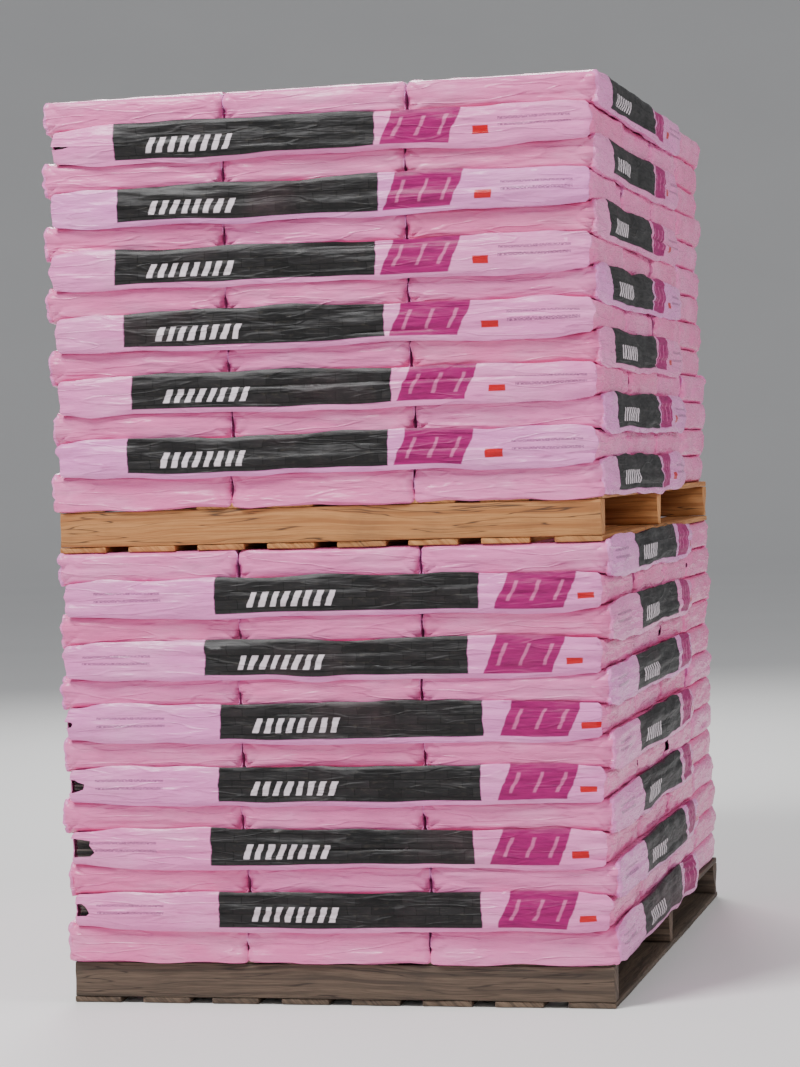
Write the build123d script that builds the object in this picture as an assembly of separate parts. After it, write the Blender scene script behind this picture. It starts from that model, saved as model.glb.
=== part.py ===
from build123d import *
import os
from math import atan2, cos, sin
from random import Random

# A double stack of asphalt shingle bundles: two loaded pallets, one standing on the other.
# Millimetres, +Z up. The origin is on the floor under the middle of the lower pallet,
# X runs along the front of the stack and -Y is the front.

# One bundle: a flat pack of shingles in a film wrap
bundle_length = 1000.0
bundle_width = 337.0
bundle_height = 57.3
film_thickness = 0.8
end_fold_thickness = 2.4
end_taper = 6.0
side_bulge = 1.5
bulge_band = 26.0

# Corner folds of the film that stand open: reach along the long side, along the end, and height
small_fold = (24.0, 16.0, 12.0)
wide_fold = (46.0, 24.0, 26.0)
torn_fold = (60.0, 26.0, 38.0)
slit_fold = (52.0, 20.0, 7.0)
fold_waist = 0.55
wide_fold_share = 0.2
second_fold_share = 0.1

# One tier: layers of four bundles, laid by turns along the front and across it
layers_per_tier = 13
front_layer_count = 4
cross_layer_count = 3
bundle_gap = 1.0
cross_layer_setback = 9.0
cross_layer_gap = 5.0
layer_shift = 5.0
bundle_shift = 3.5
stacking_seed = 11

# One pallet: boards nailed above and below three stringers, a little smaller than its load
side_overhang = 3.0
end_overhang = 6.5
deck_board_width = 89.0
deck_board_thickness = 11.0
top_board_count = 8
bottom_board_count = 8
stringer_width = 38.0
stringer_height = 64.0
stringer_count = 3

# Values that follow from the ones above
bundle_full_width = bundle_width + 2 * side_bulge
bundle_pitch = bundle_full_width + bundle_gap
front_layer_depth = front_layer_count * bundle_pitch - bundle_gap
cross_layer_depth = bundle_length + cross_layer_gap + bundle_full_width + 2 * cross_layer_setback
cross_layer_width = cross_layer_count * bundle_pitch - bundle_gap
load_depth = max(front_layer_depth, cross_layer_depth)
load_width = max(bundle_length, cross_layer_width)
pallet_depth = load_depth - 2 * end_overhang
pallet_width = load_width - 2 * side_overhang
pallet_height = 2 * deck_board_thickness + stringer_height
tier_height = layers_per_tier * bundle_height
loaded_height = pallet_height + tier_height

# The only folds that stand open to the front, at its left corner, by tier and layer
front_folds = {
    ("lower", 2): wide_fold,
    ("lower", 4): torn_fold,
    ("lower", 6): wide_fold,
    ("lower", 8): small_fold,
    ("upper", 12): slit_fold,
}

# Where other folds may stand open: the (end, side) corners of a bundle
any_corner = [(-1, -1), (-1, 1), (1, -1), (1, 1)]
inner_side_corners = [(-1, 1), (1, 1)]
outer_side_corners = [(-1, -1), (1, -1)]
rear_end_corners = [(1, -1), (1, 1)]


def sleeve_section(inset):
    """Outline across a bundle: flat above and below, with long sides that bulge."""
    half_width = bundle_width / 2 - inset
    half_height = bundle_height / 2 - inset
    bulged = half_width + side_bulge
    half_band = bulge_band / 2
    right = [
        (half_width, -half_height),
        (bulged, -half_band),
        (bulged, half_band),
        (half_width, half_height),
    ]
    left = [(-y, -z) for y, z in right]
    return Plane.YZ * make_face(Polyline(*right, *left, close=True))


def sleeve(inset, length):
    """A solid of the sleeve's section, its length along X, which tapers towards both ends."""
    body = Pos(-length / 2, 0, 0) * extrude(sleeve_section(inset), amount=length)
    return chamfer(body.edges().filter_by(Axis.Y), length=end_taper)


def fold_opening(end, side, fold):
    """A six-sided hole that goes through the end wall and the side wall at one corner."""
    side_reach, end_reach, height = fold
    slant = atan2(end_reach, side_reach)
    half_width = side_reach * sin(slant)
    waist = half_width * fold_waist
    right = [(half_width, 0), (waist, height / 2)]
    left = [(-waist, height / 2), (-half_width, 0), (-waist, -height / 2)]
    corner = Plane(
        origin=(end * bundle_length / 2, side * bundle_full_width / 2, 0),
        x_dir=(-side * sin(slant), end * cos(slant), 0),
        z_dir=(end * cos(slant), side * sin(slant), 0),
    )
    outline = make_face(Polyline(*right, *left, (waist, -height / 2), close=True))
    return extrude(corner * outline, amount=side_reach + end_reach, both=True)


def film_wrap(open_folds):
    """The film round one bundle: a sleeve, closed at its ends, open where folds stand open."""
    cavity = sleeve(film_thickness, bundle_length - 2 * end_fold_thickness)
    wrap = sleeve(0, bundle_length) - cavity
    for (end, side), fold in open_folds.items():
        wrap -= fold_opening(end, side, fold)
    return wrap.solid()


def shingle_pack():
    """The shingles of one bundle, as one block that fills the flat part of the film."""
    return Box(
        bundle_length - 2 * end_fold_thickness - 2 * end_taper,
        bundle_width - 2 * film_thickness,
        bundle_height - 2 * film_thickness,
    ).solid()


def choose_folds(corners, chance):
    """Each wrap has one fold standing open, and some have a second one."""
    count = 2 if chance.random() < second_fold_share else 1
    chosen = chance.sample(corners, count)
    return {
        corner: wide_fold if chance.random() < wide_fold_share else small_fold
        for corner in chosen
    }


def spread(count, room, width):
    """Middles of like pieces of one width, evenly spaced over a room, its middle at 0."""
    pitch = (room - width) / (count - 1)
    first = (width - room) / 2
    return [first + number * pitch for number in range(count)]


def front_layer_places(chance):
    """Bundles side by side, each with its long side to the front, and the corners of their folds."""
    places = []
    for middle in spread(front_layer_count, load_depth, bundle_full_width):
        corners = any_corner if places else inner_side_corners
        places.append((Pos(chance.uniform(-bundle_shift, bundle_shift), middle, 0), corners))
    return places


def cross_layer_places(chance):
    """Bundles with their ends to the front and one across behind them, and their fold corners."""
    ahead = -load_depth / 2 + cross_layer_setback + bundle_length / 2
    behind = load_depth / 2 - cross_layer_setback - bundle_full_width / 2
    places = []
    for middle in spread(cross_layer_count, load_width, bundle_full_width):
        slide = chance.uniform(-bundle_shift, bundle_shift)
        places.append((Pos(middle, ahead + slide, 0) * Rot(0, 0, 90), rear_end_corners))
    across = Pos(chance.uniform(-bundle_shift, bundle_shift), behind, 0)
    places.append((across, outer_side_corners))
    return places


def layer(tier, number, base, chance):
    """The wraps and the packs of one layer, which stands at the height base."""
    places = front_layer_places(chance) if number % 2 == 0 else cross_layer_places(chance)
    shift = chance.uniform(-layer_shift, layer_shift)
    middle = Pos(shift, 0, base + bundle_height / 2)
    wraps = []
    packs = []
    for index, (place, corners) in enumerate(places):
        folds = choose_folds(corners, chance)
        if index == 0 and (tier, number) in front_folds:
            folds = {(-1, -1): front_folds[tier, number]}
        wraps.append(middle * place * film_wrap(folds))
        packs.append(middle * place * shingle_pack())
    return wraps, packs


def row_of_boards(count, width, length, thickness, base):
    """Boards that run from front to back, evenly spaced over the pallet's width."""
    return [
        Pos(middle, 0, base + thickness / 2) * Box(width, length, thickness)
        for middle in spread(count, pallet_width, width)
    ]


def stringers(base):
    """Stringers along the front, the middle and the back of a pallet."""
    height = base + stringer_height / 2
    return [
        Pos(0, middle, height) * Box(pallet_width, stringer_width, stringer_height)
        for middle in spread(stringer_count, pallet_depth, stringer_width)
    ]


def save(name, solids):
    """One file for each kind of piece, its like pieces side by side."""
    export_step(Compound(children=solids, label=name), f"parts/{name}.step")


def save_pallet(tier, base):
    """The boards and stringers of one pallet."""
    board = deck_board_thickness
    lower_boards = row_of_boards(bottom_board_count, deck_board_width, pallet_depth, board, base)
    top = base + board + stringer_height
    upper_boards = row_of_boards(top_board_count, deck_board_width, pallet_depth, board, top)
    save(f"{tier}_pallet_bottom_boards", lower_boards)
    save(f"{tier}_pallet_stringers", stringers(base + board))
    save(f"{tier}_pallet_top_boards", upper_boards)


def save_tier(tier, base, chance):
    """One loaded pallet, standing at the height base."""
    save_pallet(tier, base)
    for number in range(1, layers_per_tier + 1):
        height = base + pallet_height + (number - 1) * bundle_height
        wraps, packs = layer(tier, number, height, chance)
        save(f"{tier}_film_wraps_{number:02d}", wraps)
        save(f"{tier}_shingle_packs_{number:02d}", packs)


os.makedirs("parts", exist_ok=True)
stacking = Random(stacking_seed)
save_tier("lower", 0, stacking)
save_tier("upper", loaded_height, stacking)
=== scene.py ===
import random
from itertools import product
from math import atan2, cos, inf, pi, radians, sin

import bmesh
import bpy
import numpy as np
from mathutils import Matrix, Vector


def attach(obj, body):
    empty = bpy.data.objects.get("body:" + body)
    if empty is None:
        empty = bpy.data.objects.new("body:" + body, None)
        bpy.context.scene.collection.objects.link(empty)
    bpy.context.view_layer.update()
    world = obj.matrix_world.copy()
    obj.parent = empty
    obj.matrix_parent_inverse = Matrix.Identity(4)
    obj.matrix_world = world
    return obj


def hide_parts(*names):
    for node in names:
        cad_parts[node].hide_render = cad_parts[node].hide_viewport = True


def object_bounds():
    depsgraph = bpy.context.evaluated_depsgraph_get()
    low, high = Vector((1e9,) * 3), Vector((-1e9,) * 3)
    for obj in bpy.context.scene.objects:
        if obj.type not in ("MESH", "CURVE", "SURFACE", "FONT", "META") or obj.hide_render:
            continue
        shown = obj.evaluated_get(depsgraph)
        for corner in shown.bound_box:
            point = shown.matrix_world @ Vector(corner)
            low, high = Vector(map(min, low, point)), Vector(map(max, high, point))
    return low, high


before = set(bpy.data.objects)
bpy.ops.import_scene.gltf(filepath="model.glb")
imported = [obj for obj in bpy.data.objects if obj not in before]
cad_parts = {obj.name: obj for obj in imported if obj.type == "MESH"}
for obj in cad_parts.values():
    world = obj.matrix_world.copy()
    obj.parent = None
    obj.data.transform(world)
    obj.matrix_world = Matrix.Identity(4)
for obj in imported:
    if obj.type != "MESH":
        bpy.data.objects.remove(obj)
cad_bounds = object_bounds()
stack_low, stack_high = (Vector(corner) for corner in cad_bounds)
stack_middle = (stack_low + stack_high) / 2

# Two loaded pallets of film-wrapped shingle bundles. Metres, in the frame's own axes.
TIERS = ("lower", "upper")
LAYERS = range(1, 14)
TOP_LAYER = ("upper", 13)
OUTSIDE_REACH = 0.05
SAME_PLACE = 1e-6
SAME_WAY = 0.999
EDGE_ROOM = 0.001

# The corners of a bundle, each as the sign of its end and of its side
CORNERS = tuple(product((-1, 1), repeat=2))

# Each draw of chances has its own seed, made of these
TIER_SEEDS = 1000
LAYER_SEEDS = 20
END_SEED = 90
EAR_SEED = 300
PRINT_SEED = 500
BOARD_SEED = 100
NAIL_SEED = 41

# Film before it is crumpled: its rounded edges, and the zones and cells it is divided into
SHOULDER = 0.006
SHOULDER_STEPS = 3
END_ROUND = 0.0035
END_ZONE = 0.06
END_CELLS = 7
TAPER_ZONE = 0.014
TAPER_CELLS = 3
SIDE_CELLS = 66
SPARE_CELLS = 6
CORNER_ZONE = 0.036
CORNER_CELLS = 6
MIDDLE_CELLS = 12
HEIGHT_CELLS = 14
WRAP_EASE = 0.0005

# Long sides: how far they bulge, hang out over their neighbours and crease
SIDE_BULGE = 0.0085
LIP_RISE = 0.0095
LIP_DROP = 0.0105
CROWN_LIP = 0.25
STIFF_END = 0.07
CREASES = 7
CREASE_DEPTH = 0.0028
CREASE_HEIGHT = 0.14
CREASE_FADE = 0.06
PUCKER_DEPTH = 0.0014
PUCKER_REACH = 0.06
NECK_DRAW = 0.0021
NECK_REACH = 0.06

# Folded ends: pillows with a flap, tucks, slack corners and a hem over the pallet
END_FACE = 0.004
END_TAPER = 0.006
TAPER_REACH = END_TAPER * 1.3
END_BULGE = 0.0035
PILLOW_EDGE = 0.03
FLAP_STEP = 0.0016
FLAP_HEIGHT = 0.14
TUCK_DEPTH = 0.003
TUCK_WIDTH = 0.006
TUCK_REACH = 0.06
TUCK_FADE = 0.05
EDGE_DRAW = 0.0055
EDGE_BAND = 0.011
EAR_REACH = 0.022
EAR_HEIGHT = 0.35
EAR_PUSH = 0.008
HEM_DROP = 0.0095
HEM_PUSH = 0.007

# The top of the stack, and the uneven slack that all loose film has
CROWN_SWELL = 0.0025
CROWN_RIPPLE = 0.0015
SLACK_DEPTH = 0.005
SLACK_CREASE_DEPTH = 0.006
SLACK_LEVEL = 0.1
CROWN_SLACK = 0.6
PRINT_SLIP = 0.018

# Open folds: how their rims are found on the solids, their ragged cut and the taut film beside
ON_FACE = 1e-4
RIM_MARGIN = 0.003
SIDE_SEARCH = 0.12
END_SEARCH = 0.08
FOLD_ROOM = 0.0185
FOLD_BOXINESS = 0.7
FOLD_POINTS = 14
FOLD_RAGGEDNESS = (0.84, 1.12)
FOLD_TRIES = 6
RIM_FLARE = 0.0035
RIM_WIDTH = 0.014
TAUT_REACH = 0.05

# Inside of the film
FILM_WALL = 0.0012
CREASED_WALL = 0.0046
LINER_DETAIL = 0.3
LINER_LIP = 0.42

# Shingles inside the film
SHINGLES_IN_PACK = 20
PACK_END_EASE = 0.0085
PACK_SIDE_EASE = 0.0074
PACK_TOP_EASE = 0.0052
SHINGLE_SHARE = 0.8
SHINGLE_SLIP = 0.0019
BLOCK_CORNERS = 8

# Pallet boards and their nails
BOARD_CELLS = 26
WIDE_FACE = 0.05
END_GRAIN = 0.04
BOARD_EASE = 0.0018
BOARD_ROUGHNESS = 0.0011
BOARD_HOLLOW = 0.0004
BOARD_END_FACE = 0.004
BOARD_END_SKEW = 0.0015
NAIL_RADIUS = 0.0042
NAIL_HEAD = 0.0016
NAIL_EASE = 0.0005
NAIL_SINK = 0.0011
NAIL_SPREAD = 0.024
NAIL_WANDER = (0.005, 0.008)

# Edges duller than these angles are shaded smooth
FILM_ANGLE = 50
SHINGLE_ANGLE = 30
WOOD_ANGLE = 40
NAIL_ANGLE = 40

# Studio floor: flat this far from the middle, then it rises to a backdrop
FLOOR_SIZE = 100
FLOOR_CELLS = 72
FLOOR_DROP = 0.0005
FLOOR_REACH = 20.0
BACKDROP_RUN = 24.0
BACKDROP_HEIGHT = 18.0
SKY_COLOUR = (0.93, 0.95, 1.0, 1)
SKY_STRENGTH = 0.36

# Camera of the photograph, in the frame's axes: it is turned from its own axis to the stack
PHOTO_EYE = Vector((1.41, -5.91, 0.989))
PHOTO_YAW = radians(2.97)
PHOTO_PITCH = radians(-7.36)
PHOTO_ROLL = radians(-0.49)
AIM = Vector((0.06, -0.35, 0.845))
FRAME_FILL = 0.90
PHOTO_WIDTH = 800
PHOTO_HEIGHT = 1067
SENSOR_WIDTH = 36


def pick(piece):
    """One piece is selected and active, so that an operator acts on it alone."""
    for other in bpy.context.selected_objects:
        other.select_set(False)
    bpy.context.view_layer.objects.active = piece
    piece.select_set(True)


def cube(name, size, centre=(0, 0, 0)):
    """A block of a given size, with its place in its mesh."""
    bpy.ops.mesh.primitive_cube_add(size=1, location=centre)
    block = bpy.context.object
    block.name = name
    block.scale = size
    bpy.ops.object.transform_apply(location=True, rotation=True, scale=True)
    return block


def apply(piece, kind, **settings):
    """One modifier, set and applied."""
    pick(piece)
    modifier = piece.modifiers.new(kind.lower(), kind)
    for name, value in settings.items():
        setattr(modifier, name, value)
    bpy.ops.object.modifier_apply(modifier=modifier.name)


def edit_all(piece):
    """Edit mode, with the whole piece selected."""
    pick(piece)
    bpy.ops.object.mode_set(mode="EDIT")
    bpy.ops.mesh.select_all(action="SELECT")


def end_edit():
    bpy.ops.object.mode_set(mode="OBJECT")


def edit_parts(piece, kind, wanted):
    """Edit mode, with the edges or faces selected that answer to wanted."""
    pick(piece)
    bpy.ops.object.mode_set(mode="EDIT")
    bpy.ops.mesh.select_mode(type=kind)
    bpy.ops.mesh.select_all(action="DESELECT")
    shape = bmesh.from_edit_mesh(piece.data)
    for part in shape.edges if kind == "EDGE" else shape.faces:
        if wanted(part):
            part.select = True
    shape.select_flush_mode()
    bmesh.update_edit_mesh(piece.data)


def edit_edges(piece, wanted):
    """Edit mode, with the edges selected whose two ends answer to wanted."""
    edit_parts(piece, "EDGE", lambda edge: wanted(edge.verts[0].co, edge.verts[1].co))


def along(axis, low=-inf, high=inf):
    """Edges that run along an axis, with their middle between low and high on it."""
    others = [number for number in range(3) if number != axis]

    def wanted(first, second):
        middle = (first[axis] + second[axis]) / 2
        straight = all(abs(first[number] - second[number]) < SAME_PLACE for number in others)
        return straight and low < middle < high

    return wanted


def cut_edges(piece, axis, cells, low=-inf, high=inf):
    """Rings of cuts across the edges that run along an axis."""
    edit_edges(piece, along(axis, low, high))
    bpy.ops.mesh.subdivide(number_cuts=cells - 1)
    end_edit()


def bevel_edges(piece, wanted, width, steps):
    """Chosen edges, rounded."""
    edit_edges(piece, wanted)
    bpy.ops.mesh.bevel(offset=width, segments=steps, profile=0.5, affect="EDGES")
    end_edit()


def slice_across(piece, axis, place):
    """One flat cut right through a piece, which leaves it whole."""
    edit_all(piece)
    way = Vector(np.eye(3)[axis])
    bpy.ops.mesh.bisect(plane_co=way * place, plane_no=way)
    end_edit()


def points(piece):
    """All points of a piece's mesh, one row each."""
    mesh = piece.data
    rows = np.empty(len(mesh.vertices) * 3)
    mesh.vertices.foreach_get("co", rows)
    return rows.reshape(-1, 3)


def set_points(piece, rows):
    """New places for all points of a piece's mesh."""
    piece.data.vertices.foreach_set("co", rows.ravel())
    piece.data.update()


def copy_of(piece, name):
    """A copy with a mesh of its own."""
    twin = piece.copy()
    twin.data = piece.data.copy()
    twin.name = name
    bpy.context.scene.collection.objects.link(twin)
    return twin


def join(pieces, name):
    """Several pieces made one."""
    pick(pieces[0])
    for piece in pieces[1:]:
        piece.select_set(True)
    bpy.ops.object.join()
    whole = bpy.context.object
    whole.name = name
    whole.data.name = name
    return whole


def drop(piece):
    """A piece that is no longer needed goes."""
    bpy.data.objects.remove(piece, do_unlink=True)


def new_map(mesh, name):
    """A mesh's only map, empty as yet."""
    for layer in list(mesh.uv_layers):
        mesh.uv_layers.remove(layer)
    return mesh.uv_layers.new(name=name)


def smooth_step(value):
    """0 below 0, 1 above 1, and a smooth rise between."""
    value = np.clip(value, 0, 1)
    return value * value * (3 - 2 * value)


def wave(places, seed, scale, count=5):
    """A smooth uneven line between about -1 and 1, the same each time for one seed."""
    chance = random.Random(seed)
    total = np.zeros_like(places)
    for number in range(count):
        pitch = scale * chance.uniform(0.5, 1.6) * (number + 1)
        total += np.sin(places * pitch + chance.uniform(0, 2 * pi)) / (number + 1)
    return total / 1.6


def islands(node):
    """The separate solids of a CAD node, each as the array of its points."""
    node_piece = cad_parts[node]
    keys = {}
    owner = [keys.setdefault(tuple(np.round(row, 6)), len(keys)) for row in points(node_piece)]
    parent = list(range(len(keys)))

    def root(index):
        while parent[index] != index:
            parent[index] = parent[parent[index]]
            index = parent[index]
        return index

    for face in node_piece.data.polygons:
        first, *others = [owner[vertex] for vertex in face.vertices]
        for other in others:
            parent[root(other)] = root(first)
    groups = {}
    for place, index in keys.items():
        groups.setdefault(root(index), []).append(place)
    found = [np.array(group) for group in groups.values()]
    return sorted(found, key=lambda group: tuple(np.round(group.mean(0), 3)))


class Bundle:
    """One bundle: where it lies, how large it is, which sides show and its open folds."""

    def __init__(self, solid, tier, number, seed):
        low, high = solid.min(0), solid.max(0)
        self.seed = seed
        self.tier = tier
        self.crown = (tier, number) == TOP_LAYER
        self.middle = Vector((low + high) / 2)
        size = (high - low).tolist()
        across = size[1] > size[0]
        # Its long sides face this axis, and the one that faces out is the local -Y side
        facing = 0 if across else 1
        self.length, self.width, self.height = size[1 - facing], size[facing], size[2]
        offset = self.middle[facing]
        ways = (-pi / 2, pi / 2) if across else (0, pi)
        self.turn = ways[0] if offset < stack_middle[facing] else ways[1]
        # Whether that side is on the outside of the stack
        self.shown = abs(offset) + self.width / 2 > stack_high[facing] - OUTSIDE_REACH
        # Which end has a hem over the pallet: the one at the front, in the first layer
        self.hem_end = 0
        if across and number == 1:
            self.hem_end = 1 if self.turn < 0 else -1
        back = np.array(self.matrix().inverted())
        self.local = solid @ back[:3, :3].T + back[:3, 3]
        self.folds = [fold for fold in map(self._fold, CORNERS) if fold]

    def matrix(self):
        """From the bundle's own axes to its place in the stack."""
        return Matrix.Translation(self.middle) @ Matrix.Rotation(self.turn, 4, "Z")

    def _fold(self, corner):
        """An open fold's reach along the side and the end and its height, read from its rim."""
        end, side = corner
        x, y, z = self.local[:, 0] * end, self.local[:, 1] * side, self.local[:, 2]
        half_length, half_width = self.length / 2, self.width / 2
        inside = abs(z) < self.height / 2 - EDGE_ROOM
        on_end = inside & (abs(x - half_length) < ON_FACE)
        on_end &= (y < half_width - RIM_MARGIN) & (y > half_width - END_SEARCH)
        on_side = inside & (abs(y - half_width) < ON_FACE)
        on_side &= (x < half_length - RIM_MARGIN) & (x > half_length - SIDE_SEARCH)
        if not on_end.any() or not on_side.any():
            return None
        end_reach = half_width - y[on_end].min()
        side_reach = half_length - x[on_side].min()
        return end, side, side_reach, end_reach, 2 * abs(z[on_end]).max()


def model_wrap(name, size, side_cells, keep_top):
    """The film of one bundle before it is crumpled: a block with rounded edges and fine cells."""
    length, width, height = size
    wrap = cube(name, size)
    bevel_edges(wrap, along(0), SHOULDER, SHOULDER_STEPS)

    def end_rim(a, b):
        return a.x * b.x > 0 and abs(abs(a.x + b.x) / 2 - length / 2) < 1e-5

    bevel_edges(wrap, end_rim, END_ROUND, 2)
    end, taper, end_edge = (length / 2 - zone for zone in (END_ZONE, TAPER_ZONE, SHOULDER))
    corner, side_edge = (width / 2 - zone for zone in (CORNER_ZONE, SHOULDER))
    top_edge = height / 2 - SHOULDER
    for side in (-1, 1):
        slice_across(wrap, 0, side * end)
        slice_across(wrap, 0, side * taper)
        slice_across(wrap, 1, side * corner)
    for axis, cells, low, high in (
        (0, side_cells, -end, end),
        (0, END_CELLS, end, taper),
        (0, END_CELLS, -taper, -end),
        (0, TAPER_CELLS, taper, end_edge),
        (0, TAPER_CELLS, -end_edge, -taper),
        (1, MIDDLE_CELLS, -corner, corner),
        (1, CORNER_CELLS, corner, side_edge),
        (1, CORNER_CELLS, -side_edge, -corner),
        (2, HEIGHT_CELLS, -top_edge, top_edge),
    ):
        cut_edges(wrap, axis, cells, low, high)
    thin_flats(wrap, length, width, keep_top, side_cells > SPARE_CELLS)
    add_print_map(wrap, length, height)
    return wrap


def thin_flats(wrap, length, width, keep_top, keep_side):
    """Where film lies against other bundles, it loses the cells that nothing shows."""
    flat_end = length / 2 - TAPER_ZONE
    shoulder = width / 2 - SHOULDER * 1.01
    sides = [1] if keep_side else [-1, 1]
    ways = [Vector((0, 0, -1))] + [Vector((0, side, 0)) for side in sides]
    if not keep_top:
        ways.append(Vector((0, 0, 1)))
    for way in ways:

        def flat(face, way=way):
            facing = face.normal.dot(way) > SAME_WAY
            return facing and abs(face.calc_center_median().x) < flat_end

        edit_parts(wrap, "FACE", flat)
        bpy.ops.mesh.dissolve_limited(angle_limit=radians(1))
        end_edit()
    for side in sides:

        def rib(a, b, side=side):
            upright = abs(a.x - b.x) < SAME_PLACE and abs(a.x) < flat_end - EDGE_ROOM
            return upright and a.y * side > shoulder and b.y * side > shoulder

        edit_edges(wrap, rib)
        bpy.ops.mesh.dissolve_edges(use_verts=True)
        end_edit()


def add_print_map(wrap, length, height):
    """Metres along and share of the height on the long sides, and -1 along elsewhere."""
    mesh = wrap.data
    layer = new_map(mesh, "print")
    for face in mesh.polygons:
        on_side = abs(face.normal.y) > 0.5 and abs(face.normal.x) < 0.5
        way = 1 if face.normal.y < 0 else -1
        for loop, vertex in zip(face.loop_indices, face.vertices):
            place = mesh.vertices[vertex].co
            spread = (way * place.x + length / 2, place.z / height + 0.5)
            layer.data[loop].uv = spread if on_side else (-1, 0)


class FilmPlaces:
    """Where the points of uncrumpled film lie on their bundle, which all its folds start from."""

    def __init__(self, rows, bundle):
        self.x, self.y = rows[:, :2].T.copy()
        self.half_length = bundle.length / 2
        self.half_width = bundle.width / 2 - WRAP_EASE
        self.half_height = bundle.height / 2
        self.tall = rows[:, 2] / self.half_height
        self.side = np.sign(self.y)
        self.end = np.sign(self.x)
        self.from_end = self.half_length - abs(self.x)
        self.from_side = self.half_width - abs(self.y)
        self.taut = taut_film(rows, bundle)
        self.on_side = smooth_step((abs(self.y) - (self.half_width - SHOULDER)) / SHOULDER)
        self.on_end = smooth_step((abs(self.x) - (self.half_length - END_FACE)) / END_FACE)
        self.loose = self.on_side * (self.y < 0) * bundle.shown
        self.clear_of_end = smooth_step((self.from_end - END_FACE) / STIFF_END)


def taut_film(rows, bundle):
    """1 beside an open fold, where the film is taut, and 0 away from it."""
    taut = np.zeros(len(rows))
    for end, side, side_reach, *_ in bundle.folds:
        corner = (end * bundle.length / 2, side * bundle.width / 2)
        away = np.hypot(rows[:, 0] - corner[0], rows[:, 1] - corner[1]) - side_reach
        taut = np.maximum(taut, 1 - smooth_step(away / TAUT_REACH))
    return taut


def crumple(rows, bundle, creased=True):
    """The film's slack: long sides that bulge, folded ends, and a plainer form for the inside."""
    film = FilmPlaces(rows, bundle)
    drape_side(rows, film, bundle, 1.0 if creased else LINER_LIP)
    fold_end(rows, film, (1 - film.taut) * creased, bundle.seed)
    if creased:
        crease_side(rows, film, bundle.seed)
    # Hidden sides draw in towards the ends, which leaves a narrow seam between neighbours
    hidden = film.on_side * (1 - (film.y < 0) * bundle.shown)
    neck = 1 - smooth_step(film.from_end / NECK_REACH)
    rows[:, 1] -= film.side * hidden * NECK_DRAW * neck
    taper_ends(rows, film, bundle.hem_end)
    if bundle.hem_end:
        hang_hem(rows, film, bundle)
    pull_ears(rows, film, bundle.seed)
    for fold in bundle.folds:
        flare_rim(rows, film, fold)
    if bundle.crown:
        ripple_top(rows, film, bundle.seed)
    return rows


def drape_side(rows, film, bundle, lips):
    """A long side bulges, and its upper and lower edges hang out over the neighbours."""
    places = film.x + film.side
    slack = 0.85 + 0.35 * wave(places, bundle.seed, 7.0)
    rise = LIP_RISE * (0.85 + 0.4 * wave(places, bundle.seed + 1, 9.0))
    fall = LIP_DROP * (0.85 + 0.4 * wave(places, bundle.seed + 2, 8.0))
    if bundle.crown:
        rise = rise * CROWN_LIP
    sag = 1 - 0.5 * (film.tall + 0.2) ** 2
    reach = 0.4 + 0.6 * film.clear_of_end
    rows[:, 1] += film.side * film.loose * SIDE_BULGE * slack * sag * reach
    lip = np.where(film.tall > 0, rise, fall) * (0.35 + 0.65 * film.clear_of_end)
    lip = lip * abs(film.tall) ** 1.3
    rows[:, 2] += np.sign(film.tall) * film.loose * lip * lips


def crease_side(rows, film, seed):
    """Long creases run along each long side, and short ones fan out from its two ends."""
    chance = random.Random(seed)
    loose = film.loose * (1 - film.taut)
    for _ in range(CREASES):
        level = chance.uniform(-0.8, 0.8)
        slope = chance.uniform(-0.5, 0.5)
        start = chance.uniform(-film.half_length, film.half_length * 0.6)
        stop = start + chance.uniform(0.2, 0.7)
        line = level + slope * (film.x - start)
        near = np.exp(-(((film.tall - line) / CREASE_HEIGHT) ** 2))
        span = smooth_step((film.x - start) / CREASE_FADE)
        span = span * smooth_step((stop - film.x) / CREASE_FADE)
        depth = CREASE_DEPTH * chance.uniform(0.4, 1.1) * chance.choice((-1, -1, 1))
        rows[:, 1] += film.side * loose * near * span * depth
    gather = np.exp(-film.from_end / PUCKER_REACH)
    pucker = np.sin(film.tall * 7 + film.x * 30 + film.side * chance.uniform(0, 6))
    rows[:, 1] += film.side * loose * gather * pucker * PUCKER_DEPTH


def fold_end(rows, film, slack, seed):
    """An end is a pillow with one flap over another, and tucks that run in from its corners."""
    chance = random.Random(seed + END_SEED)
    tall = film.tall
    inward = film.from_side
    places = film.y + film.end
    pillow = (1 - 0.8 * tall**2) * smooth_step(inward / PILLOW_EDGE)
    puff = 0.7 + 0.45 * wave(places, seed + 4, 16.0)
    seam = chance.uniform(-0.3, 0.2) + 0.15 * wave(places, seed + 3, 20.0)
    flap = smooth_step((tall - seam) / FLAP_HEIGHT)
    diagonal = inward - film.half_height * (1 - abs(tall)) - TUCK_WIDTH
    tuck = np.exp(-((diagonal / TUCK_WIDTH) ** 2))
    tuck = tuck * smooth_step((TUCK_REACH - inward) / TUCK_FADE)
    push = END_BULGE * pillow * puff + slack * (FLAP_STEP * flap - TUCK_DEPTH * tuck)
    push -= EDGE_DRAW * (1 - smooth_step(inward / EDGE_BAND)) * (1 - 0.5 * tall**2)
    rows[:, 0] += film.end * film.on_end * push


def taper_ends(rows, film, hem_end):
    """The film tapers towards its folded ends, above and below, but not where it has a hem."""
    taper = smooth_step((TAPER_REACH - film.from_end) / TAPER_REACH)
    kept = np.where((film.end == hem_end) & (film.tall < 0), 0.0, 1.0)
    outward = np.sign(film.tall) * taper * kept
    rows[:, 2] -= outward * END_TAPER * smooth_step((abs(film.tall) - 0.3) / 0.7)


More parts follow.
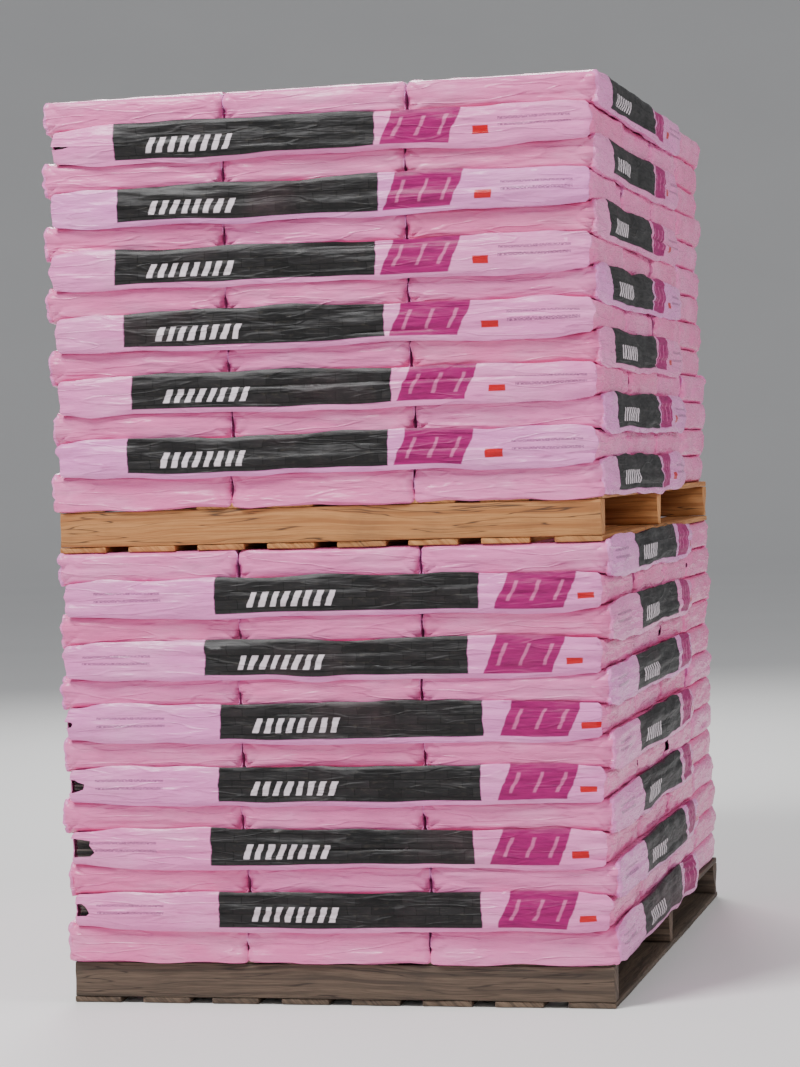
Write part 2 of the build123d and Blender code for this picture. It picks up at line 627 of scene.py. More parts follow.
def hang_hem(rows, film, bundle):
    """The lower edge of an end hangs out and down over the pallet's top boards."""
    low = smooth_step((-film.tall - 0.1) / 0.9)
    hem = (film.end == bundle.hem_end) * film.on_end * low * (1 - film.taut)
    rows[:, 0] += bundle.hem_end * hem * HEM_PUSH
    rows[:, 2] -= hem**2 * HEM_DROP * (0.85 + 0.5 * wave(film.y, bundle.seed + 8, 14.0))


def pull_ears(rows, film, seed):
    """Slack film stands out at some of the corners of the ends."""
    chance = random.Random(seed + EAR_SEED)
    near = 1 - smooth_step(film.from_end / EAR_REACH)
    near = near * (1 - smooth_step(film.from_side / (EAR_REACH * 0.8)))
    for end, side in CORNERS:
        level = chance.uniform(-0.1, 0.7)
        ear = near * (film.end == end) * (film.side == side)
        ear = ear * np.exp(-(((film.tall - level) / EAR_HEIGHT) ** 2))
        ear = ear * chance.uniform(0.1, 1.0)
        rows[:, 0] += end * ear * EAR_PUSH


def flare_rim(rows, film, fold):
    """The film stands a little away round an open fold."""
    end, side, side_reach, end_reach, height = fold
    along_side = (film.half_length - end * film.x) / side_reach
    along_end = (film.half_width - side * film.y) / end_reach
    tall = rows[:, 2] / (height / 2)
    corner_way = np.maximum(along_side, 0) + np.maximum(along_end, 0)
    from_rim = np.sqrt(corner_way**2 + tall**2) - 1
    flare = np.exp(-((from_rim * height / 2 / RIM_WIDTH) ** 2))
    near = (end * film.x > 0) & (side * film.y > 0)
    rows[:, 1] += side * near * film.on_side * flare * RIM_FLARE
    rows[:, 0] += end * near * film.on_end * flare * RIM_FLARE * 0.5


def ripple_top(rows, film, seed):
    """The top of the stack swells and ripples a little."""
    x, y = film.x, film.y
    top = smooth_step((film.tall - 0.9) / 0.1) * (1 - film.on_side) * film.clear_of_end
    rows[:, 2] += top * CROWN_SWELL * (1 + wave(x * 1.3 + y * 0.7, seed + 5, 9.0))
    rows[:, 2] += top * CROWN_RIPPLE * wave(y * 2.0 - x * 0.4, seed + 6, 22.0)


def slack_texture(name, scale, depth=2):
    """A cloudy pattern for the film's uneven slack."""
    texture = bpy.data.textures.new(name, "CLOUDS")
    texture.noise_scale = scale
    texture.noise_depth = depth
    return texture


def stretch_frame(name, sizes, tilt):
    """An empty whose axes stretch a pattern, so that creases lie along the film."""
    bpy.ops.object.empty_add(location=(0, 0, 0), rotation=(tilt, tilt * 0.6, 0))
    holder = bpy.context.object
    holder.name = name
    holder.scale = sizes
    bpy.context.view_layer.update()
    return holder


def weight_film(wrap, bundle):
    """Film that lies between bundles stays flat, and it is taut beside an open fold."""
    rows = points(wrap)
    side_room = bundle.width / 2 - SHOULDER
    end_room = bundle.length / 2 - SHOULDER
    loose = smooth_step((-rows[:, 1] - side_room) / SHOULDER) * bundle.shown
    loose = np.maximum(loose, smooth_step((abs(rows[:, 0]) - end_room) / SHOULDER))
    raised = rows[:, 2] > bundle.height / 2 + 0.0004
    loose = np.where(raised, np.maximum(loose, CROWN_SLACK), loose)
    loose = loose * (1 - 0.85 * taut_film(rows, bundle))
    group = wrap.vertex_groups.new(name="loose_film")
    for index, weight in enumerate(loose):
        if weight > 0.01:
            group.add([index], float(weight), "REPLACE")


def liner(model, bundle):
    """The inside of the film: its plain drape, thin beside an open fold, its faces turned in."""
    hollow = copy_of(model, "liner")
    rows = points(hollow)
    wall = CREASED_WALL + taut_film(rows, bundle) * (FILM_WALL - CREASED_WALL)
    half_size = np.array([bundle.length, bundle.width, bundle.height]) / 2
    inset = rows * wall[:, None] / half_size
    set_points(hollow, crumple(rows, bundle, creased=False) - inset)
    apply(hollow, "DECIMATE", ratio=LINER_DETAIL)
    edit_all(hollow)
    bpy.ops.mesh.flip_normals()
    end_edit()
    return hollow


def fold_cutter(bundle, fold, seed):
    """A ragged plug whose shape is taken out of the film at an open fold."""
    end, side, side_reach, end_reach, height = fold
    chance = random.Random(seed)
    slant = atan2(end_reach, side_reach)
    half_size = np.array([side_reach * sin(slant), min(height / 2, FOLD_ROOM)])
    bpy.ops.mesh.primitive_cylinder_add(
        vertices=FOLD_POINTS, radius=1, depth=2 * (side_reach + end_reach)
    )
    plug = bpy.context.object
    rows = points(plug)
    rows[:, :2] = np.sign(rows[:, :2]) * abs(rows[:, :2]) ** FOLD_BOXINESS
    stretch = {}
    for row in rows:
        key = (round(row[0], 4), round(row[1], 4))
        if key not in stretch:
            stretch[key] = chance.uniform(*FOLD_RAGGEDNESS)
        row[:2] *= half_size * stretch[key]
    axis = Vector((end * cos(slant), side * sin(slant), 0))
    width_axis = Vector((-side * sin(slant), end * cos(slant), 0))
    up = axis.cross(width_axis)
    turn = np.array([list(width_axis), list(up), list(axis)])
    corner = np.array([end * bundle.length / 2, side * bundle.width / 2, 0])
    set_points(plug, rows @ turn + corner)
    edit_all(plug)
    bpy.ops.mesh.normals_make_consistent(inside=False)
    end_edit()
    return plug


def open_fold(wrap, plug):
    """One plug taken out of the film, unless the cut would spoil the film."""
    whole = wrap.data.copy()
    apply(wrap, "BOOLEAN", object=plug, operation="DIFFERENCE", solver="MANIFOLD")
    drop(plug)
    if len(wrap.data.polygons) > len(whole.polygons) / 2:
        return True
    wrap.data = whole
    return False


def shift_print(wrap, shift, tint, design):
    """Where this bundle's print starts, how its film is tinted and which design it has."""
    mesh = wrap.data
    layer = mesh.uv_layers["print"]
    values = np.empty(len(mesh.loops) * 2)
    layer.data.foreach_get("uv", values)
    reaches = values[::2]
    reaches[reaches > -0.5] += shift
    layer.data.foreach_set("uv", values)
    batch = mesh.uv_layers.new(name="batch")
    batch.data.foreach_set("uv", np.tile([tint, design], len(mesh.loops)))
    mesh.uv_layers.active = mesh.uv_layers["print"]


def make_wrap(bundle, model, slack):
    """One bundle's film, crumpled, in its place and open at its open folds."""
    wrap = copy_of(model, "wrap")
    set_points(wrap, crumple(points(wrap), bundle))
    inside = liner(model, bundle)
    weight_film(wrap, bundle)
    wrap.data.transform(bundle.matrix())
    for settings in slack:
        apply(wrap, "DISPLACE", mid_level=SLACK_LEVEL, vertex_group="loose_film",
              direction="NORMAL", **settings)
    wrap.data.transform(bundle.matrix().inverted())
    chance = random.Random(bundle.seed + PRINT_SEED)
    shift = chance.uniform(-PRINT_SLIP, PRINT_SLIP)
    shift_print(wrap, shift, chance.random(), TIERS.index(bundle.tier))
    wrap = join([wrap, inside], "wrap")
    for number, fold in enumerate(bundle.folds):
        for attempt in range(FOLD_TRIES):
            ragged = bundle.seed * 10 + number + 7 * attempt
            if open_fold(wrap, fold_cutter(bundle, fold, ragged)):
                break
    wrap.data.transform(bundle.matrix())
    wrap.vertex_groups.clear()
    return wrap


def model_pack(bundle):
    """The shingles of one bundle, stacked, as they show in an open fold."""
    room = bundle.height - 2 * PACK_TOP_EASE
    pitch = room / SHINGLES_IN_PACK
    length = bundle.length - 2 * PACK_END_EASE
    width = bundle.width - 2 * PACK_SIDE_EASE
    pack = cube("pack", (length, width, pitch * SHINGLE_SHARE), (0, 0, -room / 2 + pitch / 2))
    apply(pack, "ARRAY", count=SHINGLES_IN_PACK, use_relative_offset=False,
          use_constant_offset=True, constant_offset_displace=(0, 0, pitch))
    return pack


def make_pack(bundle, model):
    """One pack in its place, with its shingles slipped a little over each other."""
    pack = copy_of(model, "pack")
    chance = random.Random(bundle.seed)
    rows = points(pack)
    for shingle in rows.reshape(-1, BLOCK_CORNERS, 3):
        shingle[:, :2] += [chance.uniform(-SHINGLE_SLIP, SHINGLE_SLIP) for _ in range(2)]
    set_points(pack, rows)
    pack.data.transform(bundle.matrix())
    return pack


def colour(red, green, blue):
    """A screen colour of 0 to 255 as the linear colour that a shader takes."""
    return tuple([(value / 255) ** 2.2 for value in (red, green, blue)] + [1.0])


class Maker:
    """A new material and short ways to add its nodes."""

    def __init__(self, name):
        self.material = bpy.data.materials.new(name)
        self.material.use_nodes = True
        self.tree = self.material.node_tree
        self.shader = self.tree.nodes["Principled BSDF"]
        self.place = self.node("ShaderNodeTexCoord").outputs["Object"]

    def finish(self, **inputs):
        """The shader's own inputs, each by its name with _ for a space."""
        for name, value in inputs.items():
            self.feed(self.shader.inputs[name.replace("_", " ")], value)
        return self.material

    def node(self, kind, inputs=(), **settings):
        made = self.tree.nodes.new(kind)
        for name, value in settings.items():
            setattr(made, name, value)
        for name, value in dict(inputs).items():
            self.feed(made.inputs[name], value)
        return made

    def feed(self, socket, value):
        """A socket gets a link or a plain value."""
        if isinstance(value, bpy.types.NodeSocket):
            self.tree.links.new(value, socket)
        else:
            socket.default_value = value

    def own_map(self, name):
        return self.node("ShaderNodeUVMap", uv_map=name).outputs[0]

    def split(self, vector):
        """The first two numbers of a vector."""
        return self.node("ShaderNodeSeparateXYZ", {0: vector}).outputs[:2]

    def combine(self, x, y, z=0.0):
        return self.node("ShaderNodeCombineXYZ", {0: x, 1: y, 2: z}).outputs[0]

    def math(self, operation, first, second=0.0):
        inputs = {0: first, 1: second}
        return self.node("ShaderNodeMath", inputs, operation=operation).outputs[0]

    def plus(self, first, second):
        return self.math("ADD", first, second)

    def minus(self, first, second):
        return self.math("SUBTRACT", first, second)

    def times(self, first, second):
        return self.math("MULTIPLY", first, second)

    def vector(self, operation, first, second):
        inputs = {0: first, 1: second}
        return self.node("ShaderNodeVectorMath", inputs, operation=operation).outputs[0]

    def ramp(self, value, low, high, bottom=0.0, top=1.0):
        """A value taken smoothly from one range to another."""
        inputs = {"Value": value, "From Min": low, "From Max": high}
        inputs.update({"To Min": bottom, "To Max": top})
        made = self.node("ShaderNodeMapRange", inputs, interpolation_type="SMOOTHSTEP")
        return made.outputs["Result"]

    def between(self, value, low, high, soft):
        """1 between two values and 0 outside, with a soft edge."""
        rising = self.ramp(value, low - soft, low + soft)
        falling = self.ramp(value, high - soft, high + soft, 1.0, 0.0)
        return self.times(rising, falling)

    def lines(self, value, middle, width):
        """1 where a value crosses its middle, which fades to 0 at a width to both sides."""
        away = self.math("ABSOLUTE", self.minus(value, middle))
        return self.ramp(away, 0.0, width, 1.0, 0.0)

    def mix(self, share, first, second):
        inputs = {0: share, 6: first, 7: second}
        return self.node("ShaderNodeMix", inputs, data_type="RGBA").outputs[2]

    def stretched(self, place, stretch):
        inputs = {"Vector": place, "Scale": stretch}
        return self.node("ShaderNodeMapping", inputs).outputs[0]

    def noise(self, place, scale, detail=3.0, roughness=0.5, stretch=(1, 1, 1)):
        inputs = {"Vector": self.stretched(place, stretch), "Scale": scale}
        inputs.update({"Detail": detail, "Roughness": roughness})
        return self.node("ShaderNodeTexNoise", inputs).outputs["Fac"]

    def cells(self, place, scale, feature):
        """How far a place lies from the middle or the edge of its cell."""
        inputs = {"Vector": place, "Scale": scale}
        return self.node("ShaderNodeTexVoronoi", inputs, feature=feature).outputs["Distance"]

    def creases(self, place, scale, stretch):
        """How far a place lies from the straight creases of crumpled film."""
        bend = self.noise(place, scale * 2.5, 2.0, 0.5, stretch)
        push = self.vector("MULTIPLY", self.combine(bend, bend, bend), (0.05, 0.05, 0.012))
        moved = self.stretched(self.vector("ADD", place, push), stretch)
        return self.cells(moved, scale, "DISTANCE_TO_EDGE")

    def bump(self, height, strength, distance, normal=None):
        inputs = {"Height": height, "Strength": strength, "Distance": distance}
        if normal is not None:
            inputs["Normal"] = normal
        return self.node("ShaderNodeBump", inputs).outputs["Normal"]


# Print on the long sides. Places are metres along the side from the start of the band, and
# levels are shares of the bundle's height. Pairs are for the lower and the upper tier.
BAND_START = (0.28, 0.13)
BAND_LENGTH = 0.49
PRINT_LEVELS = (0.13, 0.985)
PRINT_EDGE = 0.0015
LEVEL_EDGE = 0.012
COURSE_SIZE = (0.043, 0.0145)
COURSE_SHIFT = 0.37
COURSE_GAP = 0.0009
BARS_PER_METRE = 48.0
BARS_SPAN = (0.0605, 0.2305)
BARS_LEVELS = (0.26, 0.62)
BARS_SLANT = 0.009
PATCH_START = (0.53, 0.51)
PATCH_LENGTH = 0.125
PATCH_SLANT = 0.012
STRIPES_PER_METRE = 24.0
STRIPES_LEVELS = (0.3, 0.8)
CHIP_START = 0.668
CHIP_LENGTH = 0.03
CHIP_LEVELS = (0.28, 0.45)
DASHES_START = (-0.235, 0.715)
DASHES_LENGTH = 0.13
DASHES_LEVELS = ((0.62, 0.68), (0.42, 0.49))
HEIGHT_IN_PRINT = 0.066


def dark_band(make, reach, tall):
    """Rows of small printed courses, worn and uneven in tone, with a row of slanted bars."""
    courses = make.combine(reach, make.times(tall, HEIGHT_IN_PRINT))
    inks = {"Color1": colour(38, 36, 37), "Color2": colour(9, 8, 10), "Mortar": colour(3, 3, 4)}
    rows = {"Vector": courses, "Scale": 1.0, "Mortar Size": COURSE_GAP, "Bias": -0.2,
            "Brick Width": COURSE_SIZE[0], "Row Height": COURSE_SIZE[1]}
    bricks = make.node("ShaderNodeTexBrick", {**inks, **rows}, offset=COURSE_SHIFT)
    grain = make.noise(courses, 160.0, 4.0, 0.7, (0.35, 1, 1))
    tone = make.noise(courses, 16.0, 2.0, 0.5, (1, 3, 1))
    granules = make.ramp(grain, 0.5, 0.78, 0.0, 0.4)
    ink = make.mix(granules, bricks.outputs["Color"], colour(80, 74, 64))
    ink = make.mix(make.ramp(tone, 0.4, 0.7, 0.0, 0.6), ink, colour(7, 7, 9))
    slanted = make.plus(reach, make.ramp(tall, 0.0, 1.0, BARS_SLANT, -BARS_SLANT))
    bars = make.math("FRACT", make.times(slanted, BARS_PER_METRE))
    bars = make.times(
        make.between(bars, 0.2, 0.72, 0.05), make.between(tall, *BARS_LEVELS, LEVEL_EDGE)
    )
    bars = make.times(bars, make.between(slanted, *BARS_SPAN, 0.0005))
    return make.mix(bars, ink, colour(214, 200, 208))


def magenta_patch(make, reach, tall, fold_and_shade_streaks):
    """Magenta ink with a row of short pale stripes."""
    stripes = make.math("FRACT", make.times(reach, STRIPES_PER_METRE))
    stripes = make.times(
        make.between(stripes, 0.42, 0.58, 0.04), make.between(tall, *STRIPES_LEVELS, 0.02)
    )
    # The ink is darker along the same streaks: partly doubled film, partly painted crease shade
    ink = make.mix(make.ramp(fold_and_shade_streaks, 0.4, 0.8), colour(152, 0, 98), colour(116, 0, 80))
    return make.mix(make.times(stripes, 0.5), ink, colour(232, 130, 180))


def row_of_dashes(make, reach, tall):
    """Where two lines of small dashes are printed."""
    ticks = make.noise(make.combine(reach, make.times(tall, 0.6)), 240.0, 0.0)
    upper, lower = (make.between(tall, *levels, 0.01) for levels in DASHES_LEVELS)
    dashes = make.times(
        make.between(reach, 0.0, DASHES_LENGTH, 0.001), make.math("MAXIMUM", upper, lower)
    )
    return make.times(dashes, make.ramp(ticks, 0.42, 0.5))


def film_material():
    """Pale pink wrapping film with a plain dark band, a magenta patch and rows of short bars."""
    make = Maker("printed_film")
    place = make.place
    reach, tall = make.split(make.own_map("print"))
    tint, design = make.split(make.own_map("batch"))

    # The film itself: paler on the printed sides, deeper where folds lie over each other, with
    # darker pink streaks along the creases that are partly doubled film and partly painted crease
    # shade
    cloudy = make.noise(place, 7.0, 4.0, 0.55, (1, 1, 3))
    fold_and_shade_streaks = make.noise(place, 26.0, 5.0, 0.62, (1, 1, 8))
    pale = make.mix(tint, colour(230, 128, 184), colour(222, 134, 200))
    deep = make.mix(tint, colour(228, 112, 165), colour(230, 124, 180))
    film = make.mix(make.ramp(reach, -0.5, -0.4, 1.0, 0.0), pale, deep)
    film = make.mix(make.ramp(cloudy, 0.4, 0.8, 0.0, 0.35), film, colour(238, 176, 212))
    # Darker pink streaks along the film: partly doubled film in its folds, partly painted crease
    # shade
    film = make.mix(make.ramp(fold_and_shade_streaks, 0.52, 0.78, 0.0, 0.5), film, colour(178, 74, 132))

    # The print, its edges a little ragged
    ragged = make.ramp(make.noise(place, 40.0, 2.0), 0.2, 0.8, -0.002, 0.002)
    printed = make.minus(make.plus(reach, ragged), make.ramp(design, 0.0, 1.0, *BAND_START))
    inside = make.between(tall, *PRINT_LEVELS, LEVEL_EDGE)
    band = make.times(make.between(printed, 0.0, BAND_LENGTH, PRINT_EDGE), inside)
    film = make.mix(band, film, dark_band(make, printed, tall))
    on_patch = make.minus(printed, make.ramp(design, 0.0, 1.0, *PATCH_START))
    on_patch = make.plus(on_patch, make.ramp(tall, 0.0, 1.0, PATCH_SLANT, -PATCH_SLANT))
    patch = make.times(make.between(on_patch, 0.0, PATCH_LENGTH, PRINT_EDGE), inside)
    film = make.mix(patch, film, magenta_patch(make, on_patch, tall, fold_and_shade_streaks))
    on_chip = make.minus(printed, CHIP_START)
    chip = make.times(
        make.between(on_chip, 0.0, CHIP_LENGTH, 0.001), make.between(tall, *CHIP_LEVELS, 0.01)
    )
    film = make.mix(chip, film, colour(188, 8, 30))
    on_dashes = make.minus(printed, make.ramp(design, 0.0, 1.0, *DASHES_START))
    dashes = row_of_dashes(make, on_dashes, tall)
    film = make.mix(make.times(dashes, 0.75), film, colour(92, 60, 84))
    dust = make.noise(place, 3.0, 5.0, 0.65)
    film = make.mix(make.ramp(dust, 0.5, 0.8, 0.0, 0.16), film, colour(140, 104, 112))

    # Gloss, duller on the ink, and the crinkles, creases and fine grain of slack film
    inked = make.times(make.math("MAXIMUM", band, patch), 0.24)
    crinkle = make.noise(place, 12.0, 3.0, 0.5, (1, 1, 6))
    ridges = make.lines(make.noise(place, 4.5, 2.0, 0.45, (1, 1, 7)), 0.5, 0.03)
    facets = make.ramp(make.creases(place, 6.0, (1, 1, 3.6)), 0.0, 0.32)
    creased = make.plus(make.times(ridges, 0.5), facets)
    fine = make.noise(place, 40.0, 2.0, 0.5, (1, 1, 3))
    normal = make.bump(crinkle, 0.75, 0.006)
    normal = make.bump(creased, 0.6, 0.0034, normal)
    return make.finish(
        Base_Color=film,
        Roughness=make.plus(make.ramp(fold_and_shade_streaks, 0.3, 0.8, 0.24, 0.4), inked),
        Specular_IOR_Level=0.25,
        Coat_Weight=0.08,
        Coat_Roughness=0.2,
        Normal=make.bump(fine, 0.1, 0.001, normal),
    )


def shingle_material():
    """Charcoal granules on asphalt, in sheets of differing tone."""
    make = Maker("charcoal_shingle")
    grit = make.noise(make.place, 900.0, 2.0, 0.6)
    patches = make.noise(make.place, 40.0, 3.0)
    sheets = make.noise(make.place, 170.0, 1.0, 0.5, (0.02, 0.02, 1))
    base = make.mix(make.ramp(grit, 0.4, 0.7), colour(26, 25, 26), colour(84, 80, 78))
    base = make.mix(make.ramp(patches, 0.4, 0.7, 0.0, 0.5), base, colour(30, 27, 26))
    base = make.mix(make.ramp(sheets, 0.42, 0.6, 0.0, 0.85), base, colour(126, 118, 112))
    return make.finish(Base_Color=base, Roughness=0.82, Normal=make.bump(grit, 0.6, 0.0006))


def wood_material(name, light, dark, stain, damp):
    """Rough sawn boards, their grain along the board, from the piece's own map."""
    make = Maker(name)
    along_board = make.own_map("grain")
    warp = make.noise(along_board, 3.0, 3.0, 0.5, (1, 6, 1))
    bent = make.vector("ADD", along_board, make.combine(0.0, make.times(warp, 0.035)))
    rings = make.noise(bent, 60.0, 4.0, 0.6, (0.03, 1.6, 1))
    fibres = make.noise(bent, 420.0, 3.0, 0.6, (0.04, 1.5, 1))
    board_tone = make.noise(along_board, 1.7, 0.0, 0.5, (0.05, 1, 1))
    knot = make.ramp(make.cells(along_board, 5.0, "F1"), 0.05, 0.09, 1.0, 0.0)
    split = make.lines(make.noise(bent, 26.0, 2.0, 0.5, (0.08, 2.0, 1)), 0.5, 0.012)
    split = make.times(split, make.ramp(board_tone, 0.4, 0.6))
    dirt = make.noise(make.place, 7.0, 5.0, 0.65)
    base = make.mix(make.ramp(rings, 0.42, 0.62), light, dark)
    base = make.mix(make.ramp(fibres, 0.45, 0.65, 0.0, 0.45), base, stain)
    base = make.mix(make.ramp(board_tone, 0.35, 0.65, 0.0, 0.45), base, stain)
    base = make.mix(make.times(knot, 0.75), base, colour(70, 46, 30))
    base = make.mix(make.times(split, 0.8), base, colour(40, 28, 20))
    base = make.mix(make.ramp(dirt, 0.45, 0.75, 0.0, damp), base, colour(58, 50, 44))
    saw = make.noise(along_board, 300.0, 1.0, 0.4, (1, 0.05, 1))
    normal = make.bump(fibres, 0.5, 0.0012)
    normal = make.bump(split, -0.8, 0.002, normal)
    return make.finish(
        Base_Color=base,
        Roughness=make.ramp(fibres, 0.3, 0.8, 0.62, 0.85),
        Normal=make.bump(saw, 0.25, 0.0008, normal),
    )


def nail_material():
    """Dull steel with spots of rust."""
    make = Maker("nail_steel")
    rust = make.noise(make.place, 300.0, 3.0)
    base = make.mix(make.ramp(rust, 0.4, 0.65), colour(120, 118, 116), colour(92, 58, 40))
    return make.finish(Base_Color=base, Metallic=0.8, Roughness=0.5)


def floor_material():
    """Pale plain studio floor."""
    make = Maker("pale_floor")
    cloudy = make.noise(make.place, 0.8, 3.0)
    base = make.mix(cloudy, colour(232, 231, 229), colour(238, 237, 235))
    return make.finish(Base_Color=base, Roughness=0.7)


def make_board(low, high, seed):
    """One sawn board: eased edges, ends a little out of square and a faint wander along it."""
    size = high - low
    run = 0 if size[0] > size[1] else 1
    side = 1 - run
    board = cube("board", size)
    cut_edges(board, run, BOARD_CELLS)
    cut_edges(board, side, 4 if size[side] > WIDE_FACE else 2)
    cut_edges(board, 2, 4 if size[2] > WIDE_FACE else 1)
    half_size = size / 2

    def rim(*ends):
        shared = (
            all(abs(abs(end[axis]) - half_size[axis]) < SAME_PLACE for end in ends)
            for axis in range(3)
        )
        return sum(shared) >= 2

    bevel_edges(board, rim, BOARD_EASE, 2)
    rows = points(board)
    reach = rows[:, run]
    wander = wave(reach, seed, 5.0)
    rows[:, side] += BOARD_ROUGHNESS * wander * np.sign(rows[:, side])
    hollow = 1 + wave(reach * 2 + rows[:, side] * 3, seed + 1, 9.0)
    rows[:, 2] -= BOARD_HOLLOW * hollow * np.sign(rows[:, 2])
    end_zone = smooth_step((abs(reach) - half_size[run] + BOARD_END_FACE) / BOARD_END_FACE)
    skew = 1 + wave(rows[:, side] + rows[:, 2], seed + 2, 60.0)
    rows[:, run] -= np.sign(reach) * end_zone * BOARD_END_SKEW * skew
    set_points(board, rows)
    add_grain_map(board, run, side, seed)
    board.data.transform(Matrix.Translation((low + high) / 2))
    return board


def add_grain_map(board, run, side, seed):
    """Metres along the board and round it, shifted so that no two boards are alike."""
    mesh = board.data
    layer = new_map(mesh, "grain")
    chance = random.Random(seed)
    shift = (chance.uniform(0, 9), chance.uniform(0, 9))
    for face in mesh.polygons:
        end_grain = abs(face.normal[run]) > 0.7
        for loop, vertex in zip(face.loop_indices, face.vertices):
            place = mesh.vertices[vertex].co
            length = place[run] * (END_GRAIN if end_grain else 1.0)
            layer.data[loop].uv = (length + shift[0], place[side] + place[2] + shift[1])


def make_boards(node, material, seed):
    """All boards of one kind of one pallet, in place of the frame's plain ones."""
    made = []
    for number, solid in enumerate(islands(node)):
        low, high = Vector(solid.min(0)), Vector(solid.max(0))
        made.append(make_board(low, high, seed + number * 7))
    whole = join(made, node + "_sawn")
    finish_piece(whole, material, WOOD_ANGLE)
    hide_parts(node)


def make_nails(tier, material):
    """Nail heads under the bottom boards, two at each stringer."""
    stringers = islands(f"{tier}_pallet_stringers")
    boards = islands(f"{tier}_pallet_bottom_boards")
    chance = random.Random(NAIL_SEED)
    heads = []
    bpy.ops.mesh.primitive_cylinder_add(vertices=10, radius=NAIL_RADIUS, depth=NAIL_HEAD)
    model = bpy.context.object

    def lower_rim(first, second):
        return all(abs(point.z + NAIL_HEAD / 2) < 1e-5 for point in (first, second))

    bevel_edges(model, lower_rim, NAIL_EASE, 1)
    for board, stringer, side in product(boards, stringers, (-1, 1)):
        head = copy_of(model, "head")
        slips = [chance.uniform(-most, most) for most in NAIL_WANDER]
        x = board[:, 0].mean() + side * (NAIL_SPREAD + slips[0])
        y = stringer[:, 1].mean() + slips[1]
        z = board[:, 2].min() + NAIL_SINK
        head.data.transform(Matrix.Translation((x, y, z)))
        heads.append(head)
    drop(model)
    whole = join(heads, f"{tier}_pallet_nails")
    finish_piece(whole, material, NAIL_ANGLE)


def finish_piece(piece, material, angle):
    """A finished piece: its material, its shading and the body it rides on."""
    # The cut of an open fold leaves an empty material slot, which goes first
    piece.data.materials.clear()
    piece.data.materials.append(material)
    pick(piece)
    bpy.ops.object.shade_smooth_by_angle(angle=radians(angle))
    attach(piece, "root")


def make_layer(tier, number, models, slack, materials):
    """The four wraps and the four packs of one layer."""
    wraps_node = f"{tier}_film_wraps_{number:02d}"
    packs_node = f"{tier}_shingle_packs_{number:02d}"
    first_seed = TIERS.index(tier) * TIER_SEEDS + number * LAYER_SEEDS
    wraps = []
    packs = []
    for index, solid in enumerate(islands(wraps_node)):
        bundle = Bundle(solid, tier, number, first_seed + index)
        kind = "top" if bundle.crown else "long" if bundle.shown else "short"
        wraps.append(make_wrap(bundle, models[kind], slack))
        packs.append(make_pack(bundle, models["pack"]))
    film = join(wraps, wraps_node + "_creased")
    finish_piece(film, materials["film"], FILM_ANGLE)
    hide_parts(wraps_node)
    shingles = join(packs, packs_node + "_stacked")
    finish_piece(shingles, materials["shingles"], SHINGLE_ANGLE)
    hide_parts(packs_node)


def make_pallet(tier, materials):
    """The boards, the stringers and the nail heads of one pallet."""
    for count, part in enumerate(("bottom_boards", "stringers", "top_boards")):
        seed = BOARD_SEED + count * 90 + len(tier + part)
        wood = materials[tier + "_wood"]
        make_boards(f"{tier}_pallet_{part}", wood, seed)
    make_nails(tier, materials["nails"])


def stage():
    """A pale floor that rises far away on all sides, and plain soft studio light."""
    bpy.ops.mesh.primitive_grid_add(
        x_subdivisions=FLOOR_CELLS, y_subdivisions=FLOOR_CELLS, size=FLOOR_SIZE
    )
    floor = bpy.context.object
    floor.name = "studio_floor"
    rows = points(floor)
    away = np.hypot(rows[:, 0], rows[:, 1]) - FLOOR_REACH
    rows[:, 2] = BACKDROP_HEIGHT * smooth_step(away / BACKDROP_RUN) - FLOOR_DROP
    set_points(floor, rows)
    bpy.ops.object.shade_smooth()
    floor.data.materials.append(floor_material())
    world = bpy.data.worlds.new("studio")
    bpy.context.scene.world = world
    world.use_nodes = True
    background = world.node_tree.nodes["Background"]
    background.inputs["Color"].default_value = SKY_COLOUR
    background.inputs["Strength"].default_value = SKY_STRENGTH
    for name, place, aim, watts, size in (
        ("key", (-1.8, -3.4, 5.4), (0, -0.4, 0.7), 410, 1.8),
        ("fill", (0.6, -6.5, 1.6), (0, 0, 0.8), 40, 2.5),
        ("side", (5.0, -1.0, 3.6), (0, 0, 0.9), 140, 1.8),
        ("back", (-1.5, 5.0, 4.0), (0, 0, 1.0), 200, 2.5),
    ):
        add_light(name, Vector(place), Vector(aim), watts, size)


def add_light(name, place, aim, watts, size):
    """One square soft light, turned to what it lights."""
    bpy.ops.object.light_add(type="AREA", location=place)
    light = bpy.context.object
    light.name = name
    light.data.energy = watts
    light.data.size = size
    light.rotation_euler = (aim - place).to_track_quat("-Z", "Y").to_euler()


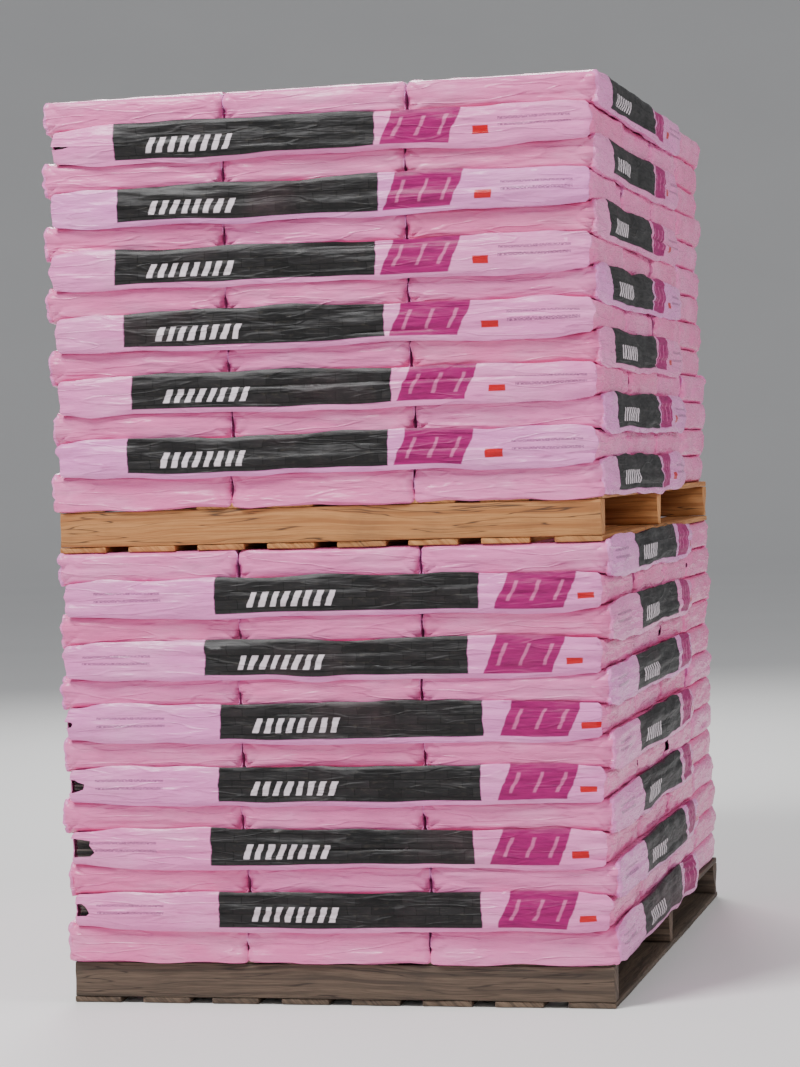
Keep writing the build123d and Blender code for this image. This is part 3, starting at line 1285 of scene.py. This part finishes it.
def place_camera():
    """The photograph's eye, turned from the photograph's own axis to the stack and drawn in."""
    heading = Matrix.Rotation(-PHOTO_YAW, 3, "Z") @ Matrix.Rotation(pi / 2 + PHOTO_PITCH, 3, "X")
    photo_turn = heading @ Matrix.Rotation(PHOTO_ROLL, 3, "Z")
    axis = photo_turn @ Vector((0, 0, -1))
    swing = axis.rotation_difference(AIM - PHOTO_EYE).to_matrix()
    turn = swing @ photo_turn
    back = turn.transposed()
    spread_x, spread_y = 0, 0
    for corner in product(*zip(*cad_bounds)):
        seen = back @ (Vector(corner) - PHOTO_EYE)
        spread_x = max(spread_x, abs(seen.x / seen.z))
        spread_y = max(spread_y, abs(seen.y / seen.z))
    half_frame = max(spread_x, spread_y * PHOTO_WIDTH / PHOTO_HEIGHT) / FRAME_FILL
    data = bpy.data.cameras.new("photo_camera")
    camera = bpy.data.objects.new("photo_camera", data)
    bpy.context.scene.collection.objects.link(camera)
    data.sensor_fit = "HORIZONTAL"
    data.sensor_width = SENSOR_WIDTH
    data.lens = SENSOR_WIDTH / 2 / half_frame
    camera.matrix_world = Matrix.Translation(PHOTO_EYE) @ turn.to_4x4()
    bpy.context.scene.camera = camera


place_camera()
stage()

# Lower pallet: grey-brown weathered wood, its colours made darker still as painted shade of the
# shadow near the ground
weathered_and_shaded = (colour(118, 98, 81), colour(76, 61, 49), colour(57, 48, 41), 0.5)
fresh = (colour(208, 146, 88), colour(166, 104, 56), colour(146, 96, 56), 0.25)
materials = {
    "film": film_material(),
    "shingles": shingle_material(),
    "lower_wood": wood_material("weathered_shaded_wood", *weathered_and_shaded),
    "upper_wood": wood_material("fresh_wood", *fresh),
    "nails": nail_material(),
}

sample = Bundle(islands("lower_film_wraps_02")[0], "lower", 2, 0)
size = (sample.length, sample.width - 2 * WRAP_EASE, sample.height)
models = {
    "long": model_wrap("long_model", size, SIDE_CELLS, False),
    "short": model_wrap("short_model", size, SPARE_CELLS, False),
    "top": model_wrap("top_model", size, SIDE_CELLS, True),
    "pack": model_pack(sample),
}

# Uneven slack, and creases that lie along the film
stretch = stretch_frame("crease_frame", (5.0, 5.0, 0.55), radians(3))
slack = (
    {"texture": slack_texture("film_slack", 0.11), "strength": SLACK_DEPTH,
     "texture_coords": "GLOBAL"},
    {"texture": slack_texture("film_creases", 0.03, 3), "strength": SLACK_CREASE_DEPTH,
     "texture_coords": "OBJECT", "texture_coords_object": stretch},
)

for tier in TIERS:
    for number in LAYERS:
        make_layer(tier, number, models, slack, materials)
    make_pallet(tier, materials)

for helper in [*models.values(), stretch]:
    drop(helper)
